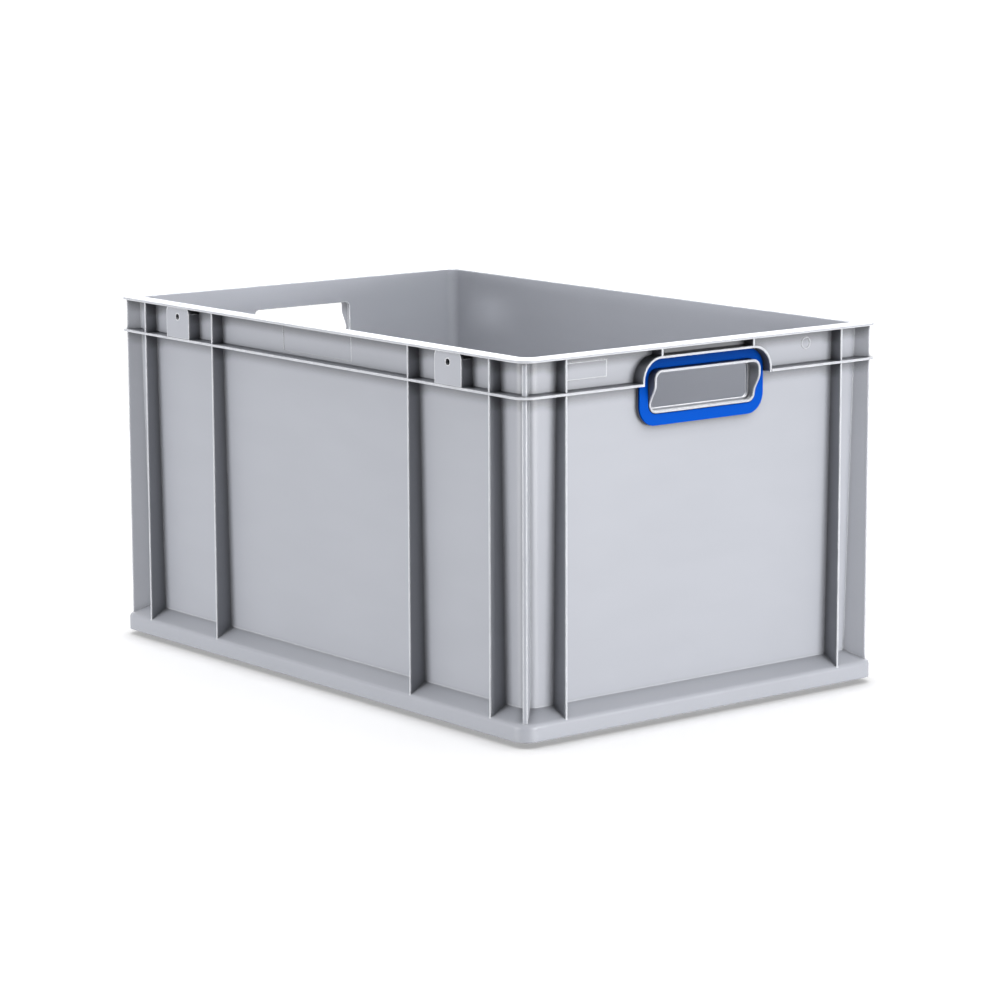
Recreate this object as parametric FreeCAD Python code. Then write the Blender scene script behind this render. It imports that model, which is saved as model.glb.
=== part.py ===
"""Stacking crate, 600 x 400 x 320 mm: one moulded tub and two clip-on colour frames round its handle holes.

Frame: +Z up, +X along the length, origin at the centre of the footprint, on the plane that it stands on.
The tub is one injection moulding. Its drafted walls carry a flat top rim, a band flange below it, upright
ribs, corner ribs, four lid pads on the long sides, and a flared skirt at the base. The skirt rests on the rim
of a crate below while the foot drops inside it. Each short end has a handle hole with a grip collar under an
arch. Each colour frame is a flat ring that slides over the collar, with six pegs in sockets behind it.
"""

import FreeCAD, Part

import math
import os

V = FreeCAD.Vector

# Overall size
LENGTH = 600.0
WIDTH = 400.0
HEIGHT = 320.0
OUTER_R = 14.0  # corner radius of rim, band flange and skirt

# Tub: drafted walls and floor
WALL_LOW = 2.6  # wall thickness at the foot
WALL_HIGH = 3.3  # the same at the rim
FOOT_INSET = 17.1  # outer wall face in from the outline, at the foot
TOP_INSET = 12.3  # the same at the rim
WALL_R = 12.0
INNER_R = 9.0
FLOOR_TOP = 6.0
FLOOR = 3.0
FLOOR_FILLET = 3.0
MOUTH_FILLET = 0.8

# Top rim and band flange
RIM = 2.5
BAND_TOP = 290.0
BAND = 2.2
EDGE_FILLET = 0.5

# Skirt: the seat that lands on the rim of the crate below
SKIRT_BOTTOM = 5.0
SKIRT_EDGE = 19.0
SKIRT_TOP = 29.0
SKIRT = 2.6
SKIRT_FILLET = 4.0
GUSSET = 1.8
GUSSET_BOTTOM = 8.0

# Upright ribs
RIB = 2.0
RIB_SETBACK = 0.7  # rib edge in from the outline
RIB_START = 12.0  # where ribs begin, inside the skirt
LONG_RIBS_X = (-254.5, -145.5, 145.5, 254.5)
SHORT_RIBS_Y = (-154.2, 154.2)
LONG_GUSSETS_X = (-200.0, -97.0, -48.5, 0.0, 48.5, 97.0, 200.0)
SHORT_GUSSETS_Y = (-103.0, -51.5, 0.0, 51.5, 103.0)
CORNER_RIB = 4.2
CORNER_RIB_REACH = 6.4  # its edge in from the sharp corner, along X and along Y
CORNER_RIB_ROOT = 3.0  # how far it runs in past the foot's outline
CORNER_RIB_FILLET = 0.9

# Lid pads on the long sides
PAD_X = 200.4
PAD_HALF = 18.2
PAD_SETBACK = 0.8
PAD_WALL = 2.4
PAD_HOLE_R = 2.75
PAD_HOLE_Z = 309.5
PAD_GATE = 4.2  # height of the openings in a pad's sides, under the rim
PAD_NOTCH = 1.6  # how far they bite into the pad's face
SLOT_HALF = 12.0
SLOT = 2.4
SLOT_SETBACK = 6.2

# Handle on each short end, seen along X: y half widths and z heights
HOLE_HALF = 57.2
HOLE_BOTTOM = 265.0
HOLE_TOP = 297.8
HOLE_R = 5.8
HOLE_STEP = 1.4  # the hole through the wall itself is this much smaller all round than the collar's
HOLE_STEP_X = 287.6
COLLAR = 2.2
COLLAR_HIGH_X = 299.5  # collar front where fingers pull up
COLLAR_LOW_X = 292.4  # collar front along the bottom of the hole
COLLAR_STEP_LOW = 270.0
COLLAR_STEP_HIGH = 287.5
COLLAR_STEP_EASE = 0.32  # share of the step's height over which each bend of its curve acts
COLLAR_FILLET = 0.7
FRAME_HALF = 69.5
FRAME_BOTTOM = 252.5
FRAME_TOP = 308.8
FRAME_R = 17.5
FRAME_FACE_X = 291.6
FRAME = 2.0
FRAME_FILLET = 0.5
FRAME_GAP = 0.3
SEAT_GAP = 0.05
SEAT_RIB = 2.2
SEAT_SETBACK = 0.2
ARCH = 2.0
ARCH_GAP = 0.8
ARCH_X = 299.5
ARCH_TIE = 1.8
ARCH_TIE_Y = 51.3
PEG_R = 1.8
PEG = 3.2
PEG_CHAMFER = 0.4
PEG_CLEARANCE = 0.05
SOCKET_DEPTH = 3.6
BOSS_R = 3.5
PEG_Y = 40.0

# Plain panels moulded into the band
LABEL_HALF = 50.0
LABEL_BOTTOM = 293.0
LABEL_TOP = 315.0
LABEL_DEPTH = 0.4
END_PANEL_Y = (-146.0, -102.0)
END_PANEL_Z = (298.0, 312.4)
DISC_Y = 122.5
DISC_Z = 307.0
DISC_R = 5.2
DISC_RING = 0.8

# Under the floor
FLOOR_RIB = 2.0
FLOOR_RIB_COLUMNS = 10
FLOOR_RIB_ROWS = 7

# Helpers for building
BITE = 1.0  # how far joined solids run into each other, and cuts run past a face
SLOPE_BITE = 0.2  # the same for the thin top of the skirt's slope
NEAR = 0.01  # tolerance for picking edges by place


def box(x0, x1, y0, y1, z0, z1):
    """A box between two corners given in any order."""
    low = V(min(x0, x1), min(y0, y1), min(z0, z1))
    return Part.makeBox(abs(x1 - x0), abs(y1 - y0), abs(z1 - z0), low)


def rounded_points(half_u, low, high, radius):
    """Corner centres of a rounded rectangle, as (u, v, first angle), anticlockwise from the top right."""
    cu = half_u - radius
    return (
        (cu, high - radius, 0),
        (-cu, high - radius, 90),
        (-cu, low + radius, 180),
        (cu, low + radius, 270),
    )


def rounded_wire(half_u, low, high, radius, place):
    """A rounded rectangle symmetric in u, from v=low to v=high, where place(u, v) is its point in space."""

    def on_circle(cu, cv, degrees):
        a = math.radians(degrees)
        return place(cu + radius * math.cos(a), cv + radius * math.sin(a))

    corners = rounded_points(half_u, low, high, radius)
    edges = []
    for i, (cu, cv, start) in enumerate(corners):
        nu, nv, next_start = corners[(i + 1) % 4]
        arc = Part.Arc(
            on_circle(cu, cv, start),
            on_circle(cu, cv, start + 45),
            on_circle(cu, cv, start + 90),
        )
        edges.append(arc.toShape())
        line = Part.LineSegment(on_circle(cu, cv, start + 90), on_circle(nu, nv, next_start))
        edges.append(line.toShape())
    return Part.Wire(edges)


def plan_wire(inset, radius, z):
    """The crate's outline in plan, drawn in by inset."""
    half_y = WIDTH / 2 - inset
    return rounded_wire(LENGTH / 2 - inset, -half_y, half_y, radius, lambda u, v: V(u, v, z))


def plate(inset, radius, z0, z1):
    """A flat plate on the crate's outline."""
    return Part.Face(plan_wire(inset, radius, z0)).extrude(V(0, 0, z1 - z0))


def drafted(inset0, z0, inset1, z1, radius0, radius1=None):
    """A solid whose plan outline changes evenly from z0 to z1."""
    top_radius = radius0 if radius1 is None else radius1
    wires = [plan_wire(inset0, radius0, z0), plan_wire(inset1, top_radius, z1)]
    return Part.makeLoft(wires, True, True)


def end_prism(half, low, high, radius, x0, x1):
    """A rounded rectangle facing along X, from x0 to x1, centred on y=0."""
    wire = rounded_wire(half, low, high, radius, lambda u, v: V(x0, u, v))
    return Part.Face(wire).extrude(V(x1 - x0, 0, 0))


def turned(shape):
    """The same shape at the other end of the crate."""
    copy = shape.copy()
    copy.rotate(V(0, 0, 0), V(0, 0, 1), 180)
    return copy


def both_ends(shapes):
    return shapes + [turned(s) for s in shapes]


def fused(shapes):
    return shapes[0].multiFuse(shapes[1:]) if len(shapes) > 1 else shapes[0]


def near(a, b):
    return abs(a - b) < NEAR


def edges_where(shape, test):
    """Edges with every vertex and the middle passing the test."""
    found = []
    for edge in shape.Edges:
        middle = edge.valueAt((edge.FirstParameter + edge.LastParameter) / 2)
        if all(test(p) for p in [middle] + [v.Point for v in edge.Vertexes]):
            found.append(edge)
    return found


def filleted(shape, radius, test):
    return shape.makeFillet(radius, edges_where(shape, test))


def wall_inset(z):
    """How far the wall's outer face is in from the outline at height z."""
    return FOOT_INSET + (TOP_INSET - FOOT_INSET) * z / HEIGHT


def tub_outer():
    return drafted(FOOT_INSET, 0, TOP_INSET, HEIGHT, WALL_R)


def cavity():
    """The inside of the tub, open at the top, with a small fillet round the floor."""
    low = FOOT_INSET + WALL_LOW
    high = TOP_INSET + WALL_HIGH
    space = drafted(low, FLOOR_TOP, high, HEIGHT, INNER_R)
    return filleted(space, FLOOR_FILLET, lambda p: p.z < FLOOR_TOP + NEAR)


def top_rim():
    rim = plate(0, OUTER_R, HEIGHT - RIM, HEIGHT)
    return filleted(rim, EDGE_FILLET, lambda p: True)


def band_flange():
    """The flange under the band. It stops at the legs of each handle arch."""
    flange = plate(0, OUTER_R, BAND_TOP - BAND, BAND_TOP)
    flange = filleted(flange, EDGE_FILLET, lambda p: True)
    gap = arch_outline(ARCH / 2, LENGTH / 2 - OUTER_R, LENGTH / 2 + BITE)
    return flange.cut(fused(both_ends([gap])))


def skirt_outer():
    upright = plate(0, OUTER_R, SKIRT_BOTTOM, SKIRT_EDGE)
    slope = drafted(0, SKIRT_EDGE, wall_inset(SKIRT_TOP) + SLOPE_BITE, SKIRT_TOP, OUTER_R, WALL_R)
    skirt = upright.fuse(slope).removeSplitter()
    return filleted(skirt, SKIRT_FILLET, lambda p: near(p.z, SKIRT_EDGE))


def skirt_inner():
    """The hollow under the skirt, as a solid with nothing taken out for the tub."""
    slope_run = wall_inset(SKIRT_TOP)
    slope_rise = SKIRT_TOP - SKIRT_EDGE
    drop = SKIRT * math.hypot(slope_run, slope_rise) / slope_run
    edge_z = SKIRT_EDGE - drop + SKIRT * slope_rise / slope_run
    upright = plate(SKIRT, OUTER_R - SKIRT, SKIRT_BOTTOM - BITE, edge_z)
    slope = drafted(SKIRT, edge_z, slope_run + SLOPE_BITE, SKIRT_TOP - drop, OUTER_R - SKIRT, WALL_R)
    return upright.fuse(slope)


def rib_heights():
    """Ribs start inside the skirt and end inside the rim."""
    return RIB_START, HEIGHT - RIM / 2


def long_rib(x, side):
    z0, z1 = rib_heights()
    edge = WIDTH / 2 - RIB_SETBACK
    rib = box(x - RIB / 2, x + RIB / 2, side * edge, side * (WIDTH / 2 - FOOT_INSET - BITE), z0, z1)
    return filleted(rib, EDGE_FILLET, lambda p: near(abs(p.y), edge) and near(abs(p.x - x), RIB / 2))


def short_rib(y, side):
    z0, z1 = rib_heights()
    edge = LENGTH / 2 - RIB_SETBACK
    rib = box(side * edge, side * (LENGTH / 2 - FOOT_INSET - BITE), y - RIB / 2, y + RIB / 2, z0, z1)
    return filleted(rib, EDGE_FILLET, lambda p: near(abs(p.x), edge) and near(abs(p.y - y), RIB / 2))


def upright_ribs():
    ribs = [long_rib(x, side) for x in LONG_RIBS_X for side in (-1, 1)]
    return ribs + [short_rib(y, side) for y in SHORT_RIBS_Y for side in (-1, 1)]


def corner_ribs():
    """A thicker rib on each corner's diagonal."""
    z0, z1 = rib_heights()
    half = CORNER_RIB / 2
    root = math.sqrt(2) * (FOOT_INSET + CORNER_RIB_ROOT - CORNER_RIB_REACH)
    web = box(-root, 0, -half, half, z0, z1)
    web = filleted(web, CORNER_RIB_FILLET, lambda p: near(p.x, 0) and near(abs(p.y), half))
    ribs = []
    for sx, sy in ((1, 1), (-1, 1), (-1, -1), (1, -1)):
        rib = web.copy()
        rib.rotate(V(0, 0, 0), V(0, 0, 1), math.degrees(math.atan2(sy, sx)))
        rib.translate(V(sx * (LENGTH / 2 - CORNER_RIB_REACH), sy * (WIDTH / 2 - CORNER_RIB_REACH), 0))
        ribs.append(rib)
    return ribs


def pad(x, side):
    face = side * (WIDTH / 2 - PAD_SETBACK)
    root = side * (WIDTH / 2 - TOP_INSET - BITE)
    block = box(x - PAD_HALF, x + PAD_HALF, face, root, BAND_TOP - BAND + EDGE_FILLET, HEIGHT - RIM / 2)
    return filleted(block, EDGE_FILLET, lambda p: near(p.y, face) and near(abs(p.x - x), PAD_HALF))


def pads():
    """Flush pads on the long sides where a lid's hinges or locks fasten."""
    return [pad(x, side) for x in (-PAD_X, PAD_X) for side in (-1, 1)]


def pad_hollow(x, side):
    """Behind a pad: a pocket open at both ends, a slot down through the rim, and a round hole in its face."""
    top = HEIGHT - RIM
    outer = side * (WIDTH / 2 - PAD_SETBACK - PAD_WALL)
    inner = side * (WIDTH / 2 - wall_inset(BAND_TOP))
    half = PAD_HALF - PAD_WALL
    slot_y = side * (WIDTH / 2 - SLOT_SETBACK)
    hole_start = V(x, side * (WIDTH / 2 + BITE), PAD_HOLE_Z)
    return [
        box(x - half, x + half, outer, inner, BAND_TOP, top),
        box(x - PAD_HALF - BITE, x + PAD_HALF + BITE, outer, inner, top - PAD_GATE, top),
        box(x - SLOT_HALF, x + SLOT_HALF, slot_y - SLOT / 2, slot_y + SLOT / 2, top - BITE, HEIGHT + BITE),
        Part.makeCylinder(PAD_HOLE_R, PAD_WALL + 2 * BITE, hole_start, V(0, -side, 0)),
        pad_notch(x, -1, side),
        pad_notch(x, 1, side),
    ]


def pad_hollows():
    return [cut for x in (-PAD_X, PAD_X) for side in (-1, 1) for cut in pad_hollow(x, side)]


def pad_notch(x, end, side):
    """The slanted bite out of a pad's face beside the opening in its side wall."""
    top = HEIGHT - RIM
    low = top - PAD_GATE
    y = side * (WIDTH / 2 - PAD_SETBACK - PAD_WALL - BITE)
    edge = x + end * PAD_HALF
    past = edge + end * BITE
    corners = [V(edge - end * PAD_NOTCH, y, top), V(past, y, top), V(past, y, low), V(edge, y, low)]
    return Part.Face(Part.makePolygon(corners + corners[:1])).extrude(V(0, side * (PAD_WALL + 2 * BITE), 0))


def arch_outline(grow, x0, x1):
    """What lies inside the arch's middle line, grown sideways by grow. It runs on down past the band."""
    gap = ARCH_GAP + ARCH / 2 + grow
    return end_prism(FRAME_HALF + gap, FRAME_BOTTOM - gap, FRAME_TOP + gap, FRAME_R + gap, x0, x1)


def handle_root_x():
    """Where the end features start: inside the wall's thickness at every height."""
    return LENGTH / 2 - FOOT_INSET - BITE


def arch():
    """The inverted U that carries the band over the handle, with two ties up to the rim."""
    x0 = handle_root_x()
    middle = ARCH / 2
    shell = arch_outline(middle, x0, ARCH_X).cut(arch_outline(-middle, x0 - BITE, ARCH_X + BITE))
    shell = filleted(shell, EDGE_FILLET, lambda p: near(p.x, ARCH_X))
    above_band = box(x0 - BITE, ARCH_X + BITE, -WIDTH / 2, WIDTH / 2, BAND_TOP - BAND, HEIGHT)
    parts = [shell.common(above_band)]
    top = FRAME_TOP + ARCH_GAP + ARCH / 2
    for y in (-ARCH_TIE_Y, ARCH_TIE_Y):
        parts.append(box(x0, ARCH_X, y - ARCH_TIE / 2, y + ARCH_TIE / 2, top, HEIGHT - RIM / 2))
    return parts


def seat_face_x():
    return FRAME_FACE_X - FRAME - SEAT_GAP


def seat_prism(shrink, x0, x1):
    s = SEAT_SETBACK + shrink
    return end_prism(FRAME_HALF - s, FRAME_BOTTOM + s, FRAME_TOP - s, FRAME_R - s, x0, x1)


def peg_places():
    """(y, z) of the six pegs, in the middle of the ring's band."""
    collar_bottom = HOLE_BOTTOM - COLLAR
    collar_top = HOLE_TOP + COLLAR
    low = (FRAME_BOTTOM + collar_bottom) / 2
    high = (FRAME_TOP + collar_top) / 2
    side = (FRAME_HALF + HOLE_HALF + COLLAR) / 2
    middle = (HOLE_BOTTOM + HOLE_TOP) / 2
    return [(y, z) for y in (-PEG_Y, PEG_Y) for z in (low, high)] + [(-side, middle), (side, middle)]


def frame_seat():
    """The raised rib under the colour frame, the filler between it and the arch, and the peg bosses."""
    x0, x1 = handle_root_x(), seat_face_x()
    rib = seat_prism(0, x0, x1).cut(seat_prism(SEAT_RIB, x0 - BITE, x1 + BITE))
    filler = arch_outline(0, x0, x1).cut(seat_prism(SEAT_RIB / 2, x0 - BITE, x1 + BITE))
    filler = filler.common(box(x0 - BITE, x1 + BITE, -WIDTH / 2, WIDTH / 2, BAND_TOP - BAND, HEIGHT))
    bosses = [Part.makeCylinder(BOSS_R, x1 - x0, V(x0, y, z), V(1, 0, 0)) for y, z in peg_places()]
    return [rib, filler] + bosses


def collar_profile():
    """The collar's front edge seen along Y: low along the bottom, stepping out to the grip at the top."""
    x0 = handle_root_x()
    low, high = FRAME_BOTTOM, HEIGHT
    ease = COLLAR_STEP_EASE * (COLLAR_STEP_HIGH - COLLAR_STEP_LOW)
    y = -WIDTH / 4
    step = Part.BezierCurve()
    step.setPoles([
        V(COLLAR_LOW_X, y, COLLAR_STEP_LOW),
        V(COLLAR_LOW_X, y, COLLAR_STEP_LOW + ease),
        V(COLLAR_HIGH_X, y, COLLAR_STEP_HIGH - ease),
        V(COLLAR_HIGH_X, y, COLLAR_STEP_HIGH),
    ])
    points = [
        V(COLLAR_HIGH_X, y, COLLAR_STEP_HIGH),
        V(COLLAR_HIGH_X, y, high),
        V(x0, y, high),
        V(x0, y, low),
        V(COLLAR_LOW_X, y, low),
        V(COLLAR_LOW_X, y, COLLAR_STEP_LOW),
    ]
    lines = [Part.LineSegment(a, b).toShape() for a, b in zip(points, points[1:])]
    return Part.Face(Part.Wire([step.toShape()] + lines)).extrude(V(0, WIDTH / 2, 0))


def collar():
    """The lip round the handle hole."""
    x0, x1 = handle_root_x(), COLLAR_HIGH_X + BITE
    outer = hole_prism(-COLLAR, x0, x1)
    lip = outer.cut(hole_prism(0, x0 - BITE, x1 + BITE)).common(collar_profile())
    front = COLLAR_LOW_X - NEAR
    return filleted(lip, COLLAR_FILLET, lambda p: p.x > front)


def hole_prism(shrink, x0, x1):
    """The collar's opening, drawn in all round by shrink, or let out where shrink is negative."""
    return end_prism(HOLE_HALF - shrink, HOLE_BOTTOM + shrink, HOLE_TOP - shrink, HOLE_R - shrink, x0, x1)


def hole():
    """The way through: the wall's own hole, then the slightly wider one through the collar."""
    inside = handle_root_x() - 2 * WALL_HIGH
    return [hole_prism(HOLE_STEP, inside, HOLE_STEP_X + BITE), hole_prism(0, HOLE_STEP_X, LENGTH / 2 + BITE)]


def sockets():
    radius = PEG_R + PEG_CLEARANCE
    bottom_x = seat_face_x() - SOCKET_DEPTH
    length = SOCKET_DEPTH + BITE
    return [Part.makeCylinder(radius, length, V(bottom_x, y, z), V(1, 0, 0)) for y, z in peg_places()]


def band_panels():
    """Low solids on the drafted wall, LABEL_DEPTH proud: a plain field and a plain ring on each end."""
    skin = drafted(FOOT_INSET - LABEL_DEPTH, 0, TOP_INSET - LABEL_DEPTH, HEIGHT, WALL_R)
    x0, x1 = handle_root_x(), LENGTH / 2
    field = box(x0, x1, *END_PANEL_Y, *END_PANEL_Z)
    disc = Part.makeCylinder(DISC_R, x1 - x0, V(x0, DISC_Y, DISC_Z), V(1, 0, 0))
    bore = Part.makeCylinder(DISC_R - DISC_RING, x1 - x0, V(x0, DISC_Y, DISC_Z), V(1, 0, 0))
    return [skin.common(field), skin.common(disc.cut(bore))]


def label_recesses():
    """A shallow plain field in the band of each long side."""
    beyond = drafted(FOOT_INSET + LABEL_DEPTH, 0, TOP_INSET + LABEL_DEPTH, HEIGHT, WALL_R)
    cuts = []
    for side in (-1, 1):
        outer = side * WIDTH / 2
        inner = side * (WIDTH / 2 - FOOT_INSET - BITE)
        field = box(-LABEL_HALF, LABEL_HALF, outer, inner, LABEL_BOTTOM, LABEL_TOP)
        cuts.append(field.cut(beyond))
    return cuts


def gussets(room):
    """Thin webs under the skirt, below the ribs and between them."""
    half = GUSSET / 2
    start, reach = BITE, FOOT_INSET + BITE
    webs = []
    for side in (-1, 1):
        for x in LONG_RIBS_X + LONG_GUSSETS_X:
            y0, y1 = side * (WIDTH / 2 - start), side * (WIDTH / 2 - reach)
            webs.append(box(x - half, x + half, y0, y1, GUSSET_BOTTOM, SKIRT_TOP))
        for y in SHORT_RIBS_Y + SHORT_GUSSETS_Y:
            x0, x1 = side * (LENGTH / 2 - start), side * (LENGTH / 2 - reach)
            webs.append(box(x0, x1, y - half, y + half, GUSSET_BOTTOM, SKIRT_TOP))
    return [web.common(room) for web in webs]


def floor_recess():
    """The space under the floor, inside the foot, split by a grid of ribs."""
    depth = FLOOR_TOP - FLOOR
    inset = FOOT_INSET + WALL_LOW
    space = drafted(inset, -BITE, inset, depth, INNER_R)
    half_x, half_y = LENGTH / 2 - inset, WIDTH / 2 - inset
    ribs = []
    for i in range(1, FLOOR_RIB_COLUMNS):
        x = -half_x + 2 * half_x * i / FLOOR_RIB_COLUMNS
        ribs.append(box(x - FLOOR_RIB / 2, x + FLOOR_RIB / 2, -half_y, half_y, -2 * BITE, depth))
    for i in range(1, FLOOR_RIB_ROWS):
        y = -half_y + 2 * half_y * i / FLOOR_RIB_ROWS
        ribs.append(box(-half_x, half_x, y - FLOOR_RIB / 2, y + FLOOR_RIB / 2, -2 * BITE, depth))
    return space.cut(fused(ribs))


def crate_body():
    tub = tub_outer()
    skirt = skirt_outer()
    under = skirt_inner()
    solids = [tub, skirt, top_rim(), band_flange()]
    solids += upright_ribs() + corner_ribs() + pads()
    solids += both_ends(arch() + frame_seat() + [collar()] + band_panels())
    body = fused(solids)
    cuts = [under.cut(tub), cavity(), floor_recess()]
    cuts += pad_hollows() + label_recesses()
    cuts += both_ends(hole() + sockets())
    body = body.cut(fused(cuts))
    body = fused([body] + gussets(skirt)).removeSplitter()
    inner = TOP_INSET + WALL_HIGH - BITE
    return filleted(body, MOUTH_FILLET, lambda p: p.z > HEIGHT - NEAR
                    and abs(p.x) < LENGTH / 2 - inner and abs(p.y) < WIDTH / 2 - inner)


def handle_frame():
    """The colour ring over the collar at the +X end, with its pegs."""
    x0 = FRAME_FACE_X - FRAME
    ring = end_prism(FRAME_HALF, FRAME_BOTTOM, FRAME_TOP, FRAME_R, x0, FRAME_FACE_X)
    opening = hole_prism(-COLLAR - FRAME_GAP, x0 - BITE, FRAME_FACE_X + BITE)
    ring = ring.cut(opening)
    ring = filleted(ring, FRAME_FILLET, lambda p: near(p.x, FRAME_FACE_X))
    pegs = []
    for y, z in peg_places():
        peg = Part.makeCylinder(PEG_R, PEG + FRAME / 2, V(x0 - PEG, y, z), V(1, 0, 0))
        pegs.append(peg.makeChamfer(PEG_CHAMFER, edges_where(peg, lambda p: p.x < x0 - PEG + NEAR)))
    return fused([ring] + pegs).removeSplitter()


def main():
    os.makedirs("parts", exist_ok=True)
    frame = handle_frame()
    nodes = {
        "crate_body": crate_body(),
        "handle_frame_right": frame,
        "handle_frame_left": turned(frame),
    }
    for name, shape in nodes.items():
        print(name, len(shape.Solids), "solid", shape.isValid(), round(shape.Volume / 1000, 1), "cm3")
        shape.exportStep(f"parts/{name}.step")


main()
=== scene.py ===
"""Looks of the stacking crate: procedural plastics, a pale studio floor, soft light and the camera.

Units are metres, in the CAD frame: +X along the crate, +Z up, origin on the floor under its middle.
"""

import math

import bpy
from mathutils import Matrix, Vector


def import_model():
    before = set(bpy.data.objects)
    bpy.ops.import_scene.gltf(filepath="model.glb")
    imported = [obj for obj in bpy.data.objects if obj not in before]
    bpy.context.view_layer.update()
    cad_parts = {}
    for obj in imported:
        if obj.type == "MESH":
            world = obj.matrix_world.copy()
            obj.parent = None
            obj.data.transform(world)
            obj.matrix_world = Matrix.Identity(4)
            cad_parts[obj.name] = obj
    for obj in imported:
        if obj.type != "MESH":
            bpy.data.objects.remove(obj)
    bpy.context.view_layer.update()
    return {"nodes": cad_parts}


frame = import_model()

# Camera: place, aim in degrees, lens and sensor in mm
CAMERA_AT = (2.465, -1.954, 0.695)
CAMERA_YAW = 51.34
CAMERA_PITCH = 9.92
CAMERA_ROLL = -0.2
CAMERA_LENS = 126.5
CAMERA_SENSOR = 36.0
CAMERA_RANGE = 200.0

# World: the glow on the camera's side and behind the crate, how it passes from one to the other along the
# view (-1 is towards the camera, 1 away from it), and the backdrop's own colour
WORLD_FRONT = 0.0
WORLD_BACK = 1.0
GLOW_START = -0.55
GLOW_FULL = 0.8
WHITE = (1.0, 1.0, 1.0, 1.0)
BACKDROP = (0.97, 0.97, 0.975, 1.0)

# Lights on the crate. An azimuth is where the light stands: 0 is at -Y and 90 at +X.
CRATE_SUNS = (  # name, azimuth, elevation, strength, spread
    ("top_box", 231.0, 75.0, 4.4, 80.0),
    ("rear_box", 231.0, 14.0, 1.4, 50.0),
)
SIDE_BOXES = (  # name, azimuth, power: wide softboxes, so low that none of their light comes in over the rim
    ("left_box", 347.0, 187.0),
    ("right_box", 103.0, 252.0),
)
SIDE_DISTANCE = 4.0
SIDE_HEIGHT = 0.24
SIDE_SIZE = (2.4, 0.42)
MOUTH_BOXES = (  # name, place, aim, power: small softboxes over the open top, for the inside
    ("mouth_far", (0.23, -0.08, 0.85), (-0.28, 0.18, 0.20), 8.8),
    ("mouth_near", (-0.23, 0.08, 0.85), (0.28, -0.18, 0.20), 2.5),
)
MOUTH_SIZE = (0.14, 0.12)

# Floor: a glowing table, with a painted soft shadow close to the crate that darkens its colour and glow
FLOOR_SUN = ("floor_light", 51.0, 85.0, 0.9, 100.0)
FLOOR_SIZE = 120.0
FLOOR_DROP = 0.0002  # how far it lies under the crate's foot
FLOOR_COLOUR = (0.90, 0.90, 0.905, 1.0)
FLOOR_MOTTLE = 0.985
FLOOR_GLOW = 0.58
CONTACT_REACH = 0.025
CONTACT_SHADE = 0.66
CONTACT_SAMPLES = 8

# Plastics: the body colour and its paler clouds, a painted highlight on the edges, and painted shade in
# creases and under ledges
GREY = (0.220, 0.228, 0.252, 1.0)
GREY_LIGHT = (0.230, 0.238, 0.263, 1.0)
# pale colour of the painted edge highlight
GREY_PAINTED_HIGHLIGHT = (0.62, 0.63, 0.65, 1.0)
# dark colour of the painted shade in creases and under ledges
GREY_PAINTED_SHADE = (0.055, 0.057, 0.063, 1.0)
BLUE = (0.0, 0.040, 0.275, 1.0)
BLUE_LIGHT = (0.0, 0.044, 0.290, 1.0)
# pale colour of the painted edge highlight
BLUE_PAINTED_HIGHLIGHT = (0.0, 0.062, 0.39, 1.0)
# dark colour of the painted shade in creases and under ledges
BLUE_PAINTED_SHADE = (0.0, 0.012, 0.083, 1.0)
BLUE_GLOSS = (0.0, 0.30, 1.0, 1.0)
PLASTIC_IOR = 1.49
MASK_SAMPLES = 6
EDGE_REACH = 0.0018  # radius of the softened edges
CREASE_REACH = 0.005
CREASE_SHADE_DEPTH = 0.30
LEDGE_REACH = 0.014
LEDGE_TILT = 0.8  # how far a face's normal is tipped up, to find what hangs over it and paint shade under it
FAINT_HIGHLIGHT_BELOW = 0.010  # up to this height the painted edge highlight is faint
FAINT_HIGHLIGHT_FADE = 0.010
FAINT_HIGHLIGHT = 0.1
CLOUDS = 7.0  # scales of the noises, and the stretch of the flow streaks
STREAKS = 3.0
STREAK_STRETCH = (5.0, 5.0, 16.0)
HIGHLIGHT_PATCHES = 60.0
SINK = 6.0
SINK_DEPTH = 0.00012


class Nodes:
    """A material's or world's node tree, with one call for a node and its inputs."""

    def __init__(self, tree):
        self.tree = tree
        tree.nodes.clear()

    def add(self, kind, settings=None, **inputs):
        node = self.tree.nodes.new(kind)
        for key, value in (settings or {}).items():
            setattr(node, key, value)
        for key, value in inputs.items():
            socket = self.socket(node, key)
            if isinstance(value, bpy.types.NodeSocket):
                self.tree.links.new(value, socket)
            else:
                socket.default_value = value
        return node

    @staticmethod
    def socket(node, key):
        """An input by name, with underscores for spaces, or by number as in0, in1."""
        if key.startswith("in") and key[2:].isdigit():
            return node.inputs[int(key[2:])]
        return node.inputs[key.replace("_", " ")]

    def math(self, operation, a, b=0.0):
        return self.add("ShaderNodeMath", {"operation": operation}, in0=a, in1=b).outputs[0]

    def noise(self, vector, scale, detail=2.0, roughness=0.5):
        inputs = {"Vector": vector, "Scale": scale, "Detail": detail, "Roughness": roughness}
        return self.add("ShaderNodeTexNoise", **inputs).outputs["Fac"]

    def remap(self, value, low, high, to_low, to_high):
        limits = {"From_Min": low, "From_Max": high, "To_Min": to_low, "To_Max": to_high}
        return self.add("ShaderNodeMapRange", Value=value, **limits).outputs["Result"]

    def mix(self, factor, a, b):
        """Colour a where the factor is 0, and b where it is 1."""
        return self.add("ShaderNodeMix", {"data_type": "RGBA"}, in0=factor, in6=a, in7=b).outputs[2]

    def openness(self, samples, reach, **inputs):
        """How open the space within reach of the surface is: 0 is shut in, and 1 is free."""
        node = self.add("ShaderNodeAmbientOcclusion", {"samples": samples}, Distance=reach, **inputs)
        return node.outputs["AO"]


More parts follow.
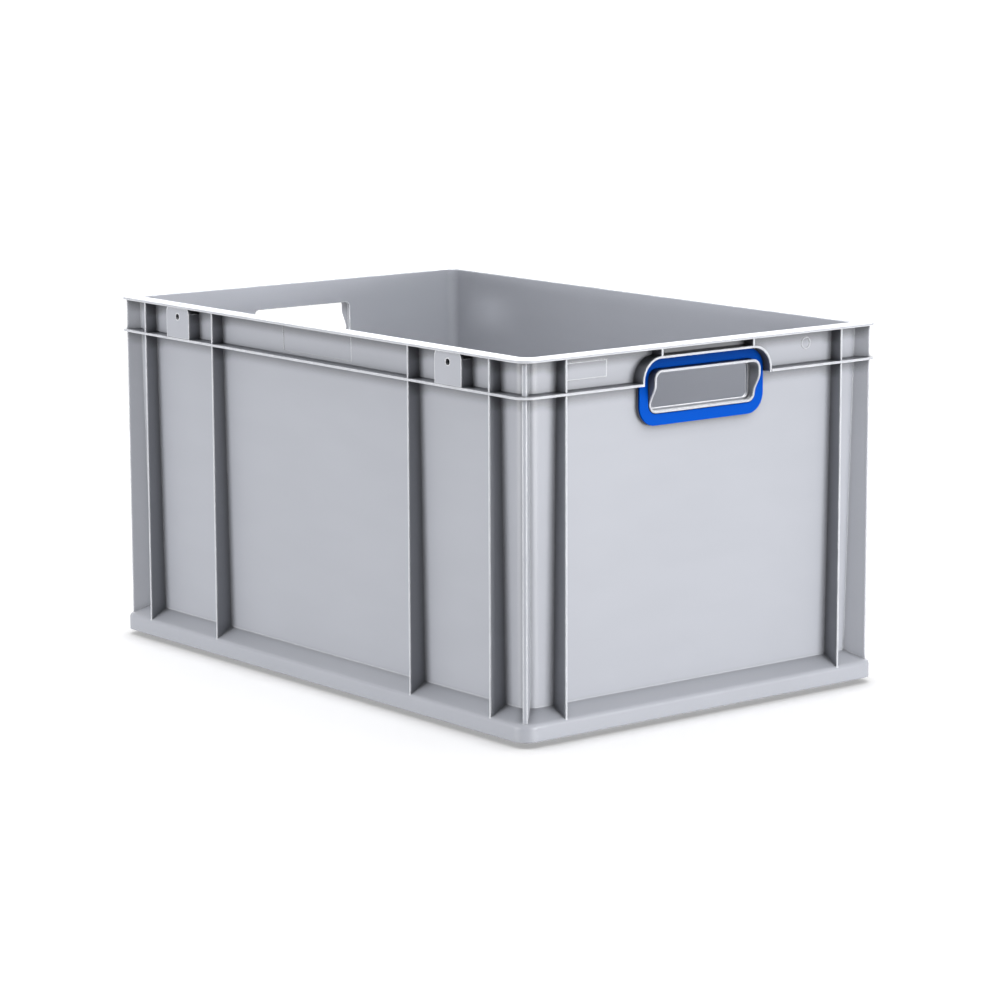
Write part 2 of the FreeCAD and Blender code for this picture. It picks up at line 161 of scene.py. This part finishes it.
def plastic(name, colours, roughness, specular, tint, grain, grain_scale):
    """Moulded plastic: fine spark-eroded grain, faint flow clouds, a gloss that varies with the grain,
    a painted highlight on convex edges, and painted shade in creases and on faces under ledges."""
    colour, colour_light, colour_painted_highlight, colour_painted_shade = colours
    material = bpy.data.materials.new(name)
    material.use_nodes = True
    n = Nodes(material.node_tree)
    place = n.add("ShaderNodeTexCoord").outputs["Object"]

    clouds = n.noise(place, CLOUDS)
    flow = n.add("ShaderNodeMapping", Vector=place, Scale=STREAK_STRETCH).outputs[0]
    streaks = n.noise(flow, STREAKS, detail=1.0)
    tone = n.math("ADD", n.remap(clouds, 0.3, 0.7, 0.0, 0.6), n.remap(streaks, 0.35, 0.65, 0.0, 0.4))
    base = n.mix(tone, colour, colour_light)

    soft_normal = n.add("ShaderNodeBevel", {"samples": MASK_SAMPLES}, Radius=EDGE_REACH).outputs[0]
    true_normal = n.add("ShaderNodeNewGeometry").outputs["Normal"]
    agree = n.add("ShaderNodeVectorMath", {"operation": "DOT_PRODUCT"}, in0=soft_normal, in1=true_normal)
    # painted highlight: convex edges are lightened towards the pale edge colour, in patches, fainter near
    # the foot
    edge = n.remap(agree.outputs["Value"], 0.998, 0.93, 0.0, 1.0)
    open_air = n.openness(MASK_SAMPLES, CREASE_REACH)
    outward = n.math("MULTIPLY", edge, n.remap(open_air, 0.75, 0.97, 0.0, 1.0))
    patches = n.remap(n.noise(place, HIGHLIGHT_PATCHES, detail=4.0), 0.3, 0.6, 0.75, 1.0)
    patchy = n.math("MULTIPLY", outward, patches)
    height_up = n.add("ShaderNodeSeparateXYZ", in0=place).outputs["Z"]
    above_foot = n.remap(height_up, FAINT_HIGHLIGHT_BELOW, FAINT_HIGHLIGHT_BELOW + FAINT_HIGHLIGHT_FADE, FAINT_HIGHLIGHT, 1.0)
    edge_highlight = n.math("MULTIPLY", patchy, above_foot)
    # painted shade: creases and faces under overhanging ledges are darkened, standing in for their shadow
    crease_shade = n.remap(open_air, 0.92, 0.58, 0.0, CREASE_SHADE_DEPTH)
    upward = n.add("ShaderNodeVectorMath", {"operation": "ADD"}, in0=true_normal, in1=(0.0, 0.0, LEDGE_TILT))
    leaning = n.add("ShaderNodeVectorMath", {"operation": "NORMALIZE"}, in0=upward.outputs[0]).outputs[0]
    sky = n.openness(MASK_SAMPLES, LEDGE_REACH, Normal=leaning)
    under_ledge_shade = n.remap(sky, 0.78, 0.30, 0.0, 1.0)
    shade = n.math("MAXIMUM", crease_shade, under_ledge_shade)
    painted_shade_base = n.mix(shade, base, colour_painted_shade)
    highlighted = n.mix(edge_highlight, painted_shade_base, colour_painted_highlight)

    fine = n.noise(place, grain_scale, roughness=0.6)
    mottled = n.noise(place, grain_scale * 0.25)
    gloss = n.remap(n.math("ADD", fine, mottled), 0.7, 1.3, roughness - 0.05, roughness + 0.06)
    height = n.math("ADD", n.math("MULTIPLY", fine, grain), n.math("MULTIPLY", mottled, grain * 0.6))
    skin = n.add("ShaderNodeBump", Strength=0.5, Distance=1.0, Height=height, Normal=soft_normal).outputs[0]
    sink = n.math("MULTIPLY", n.noise(place, SINK, detail=0.0), SINK_DEPTH)
    surface = n.add("ShaderNodeBump", Strength=0.3, Distance=1.0, Height=sink, Normal=skin).outputs[0]

    shader = n.add("ShaderNodeBsdfPrincipled", Base_Color=highlighted, Roughness=gloss, Normal=surface)
    shader.inputs["IOR"].default_value = PLASTIC_IOR
    shader.inputs["Specular IOR Level"].default_value = specular
    shader.inputs["Specular Tint"].default_value = tint
    n.add("ShaderNodeOutputMaterial", Surface=shader.outputs[0])
    return material


def paint(node, material):
    mesh = frame["nodes"][node].data
    mesh.materials.clear()
    mesh.materials.append(material)


def floor():
    """A pale light table: matt, with a glow of its own that keeps the crate's shadow soft,
    and a painted shadow that darkens its colour and glow close to the crate.
    """
    material = bpy.data.materials.new("studio_floor")
    material.use_nodes = True
    n = Nodes(material.node_tree)
    place = n.add("ShaderNodeTexCoord").outputs["Object"]
    grey = n.remap(n.noise(place, 2.0, detail=3.0), 0.3, 0.7, 0.0, 1.0)
    darker = tuple(c * FLOOR_MOTTLE for c in FLOOR_COLOUR[:3]) + (1.0,)
    colour = n.mix(grey, darker, FLOOR_COLOUR)
    # painted contact shadow: the floor's colour and glow darken where the crate shuts in the space above it
    contact_shadow = n.remap(n.openness(CONTACT_SAMPLES, CONTACT_REACH), 0.5, 0.95, CONTACT_SHADE, 1.0)
    shaded = n.add("ShaderNodeVectorMath", {"operation": "SCALE"}, in0=colour, Scale=contact_shadow).outputs[0]
    glow = n.math("MULTIPLY", contact_shadow, FLOOR_GLOW)
    shader = n.add("ShaderNodeBsdfPrincipled", Base_Color=shaded, Roughness=0.85, Emission_Strength=glow)
    shader.inputs["Specular IOR Level"].default_value = 0.2
    shader.inputs["Emission Color"].default_value = FLOOR_COLOUR
    n.add("ShaderNodeOutputMaterial", Surface=shader.outputs[0])
    mesh = bpy.data.meshes.new("studio_floor")
    h = FLOOR_SIZE / 2
    mesh.from_pydata([(-h, -h, 0), (h, -h, 0), (h, h, 0), (-h, h, 0)], [], [(0, 1, 2, 3)])
    mesh.materials.append(material)
    obj = bpy.data.objects.new("studio_floor", mesh)
    bpy.context.scene.collection.objects.link(obj)
    obj.location.z = -FLOOR_DROP
    return obj


def lit(name, objects):
    """A group of objects for a light to shine on."""
    group = bpy.data.collections.new(name)
    for obj in objects:
        group.objects.link(obj)
    return group


def sun(name, azimuth, elevation, strength, spread, group):
    """A soft directional light on one group."""
    light = bpy.data.lights.new(name, "SUN")
    light.energy = strength
    light.angle = math.radians(spread)
    obj = bpy.data.objects.new(name, light)
    bpy.context.scene.collection.objects.link(obj)
    obj.rotation_euler = (math.radians(90 - elevation), 0, math.radians(azimuth))
    obj.light_linking.receiver_collection = group


def softbox(name, place, aim, size, power, group):
    """A rectangular area light on one group, unseen itself."""
    light = bpy.data.lights.new(name, "AREA")
    light.energy = power
    light.shape = "RECTANGLE"
    light.size, light.size_y = size
    obj = bpy.data.objects.new(name, light)
    bpy.context.scene.collection.objects.link(obj)
    obj.location = place
    obj.rotation_euler = (Vector(aim) - Vector(place)).to_track_quat("-Z", "Y").to_euler()
    obj.visible_camera = False
    obj.light_linking.receiver_collection = group


def side_box(name, azimuth, power, group):
    """A wide low softbox that stands at an azimuth and faces the crate."""
    turn = math.radians(azimuth)
    place = (SIDE_DISTANCE * math.sin(turn), -SIDE_DISTANCE * math.cos(turn), SIDE_HEIGHT)
    softbox(name, place, (0.0, 0.0, SIDE_HEIGHT), SIDE_SIZE, power, group)


def world():
    """A pale glow, brightest behind the crate as a backdrop is, and dark on the camera's side."""
    w = bpy.data.worlds.new("studio")
    bpy.context.scene.world = w
    w.use_nodes = True
    n = Nodes(w.node_tree)
    where = n.add("ShaderNodeTexCoord").outputs["Generated"]
    away = math.radians(CAMERA_YAW)
    behind = (-math.sin(away), math.cos(away), 0.0)
    facing = n.add("ShaderNodeVectorMath", {"operation": "DOT_PRODUCT"}, in0=where, in1=behind)
    strength = n.remap(facing.outputs["Value"], GLOW_START, GLOW_FULL, WORLD_FRONT, WORLD_BACK)
    glow = n.add("ShaderNodeBackground", Color=WHITE, Strength=strength)
    seen = n.add("ShaderNodeBackground", Color=BACKDROP, Strength=1.0)
    direct = n.add("ShaderNodeLightPath").outputs["Is Camera Ray"]
    mixed = n.add("ShaderNodeMixShader", in0=direct, in1=glow.outputs[0], in2=seen.outputs[0])
    n.add("ShaderNodeOutputWorld", Surface=mixed.outputs[0])


def camera():
    data = bpy.data.cameras.new("camera")
    data.lens = CAMERA_LENS
    data.sensor_width = CAMERA_SENSOR
    data.clip_end = CAMERA_RANGE
    obj = bpy.data.objects.new("camera", data)
    bpy.context.scene.collection.objects.link(obj)
    obj.location = CAMERA_AT
    turn = (90 - CAMERA_PITCH, -CAMERA_ROLL, CAMERA_YAW)
    obj.rotation_euler = [math.radians(angle) for angle in turn]
    bpy.context.scene.camera = obj


greys = (GREY, GREY_LIGHT, GREY_PAINTED_HIGHLIGHT, GREY_PAINTED_SHADE)
blues = (BLUE, BLUE_LIGHT, BLUE_PAINTED_HIGHLIGHT, BLUE_PAINTED_SHADE)
crate_plastic = plastic(
    "crate_plastic", greys, roughness=0.42, specular=0.4, tint=WHITE, grain=0.00006, grain_scale=2600.0
)
frame_plastic = plastic(
    "frame_plastic", blues, roughness=0.45, specular=0.12, tint=BLUE_GLOSS, grain=0.00004, grain_scale=3000.0
)
paint("crate_body", crate_plastic)
paint("handle_frame_left", frame_plastic)
paint("handle_frame_right", frame_plastic)

crate_group = lit("lit_crate", frame["nodes"].values())
floor_group = lit("lit_floor", [floor()])
world()
for light in CRATE_SUNS:
    sun(*light, crate_group)
for name, azimuth, power in SIDE_BOXES:
    side_box(name, azimuth, power, crate_group)
for name, place, aim, power in MOUTH_BOXES:
    softbox(name, place, aim, MOUTH_SIZE, power, crate_group)
sun(*FLOOR_SUN, floor_group)
camera()
bpy.context.scene.view_settings.view_transform = "Standard"
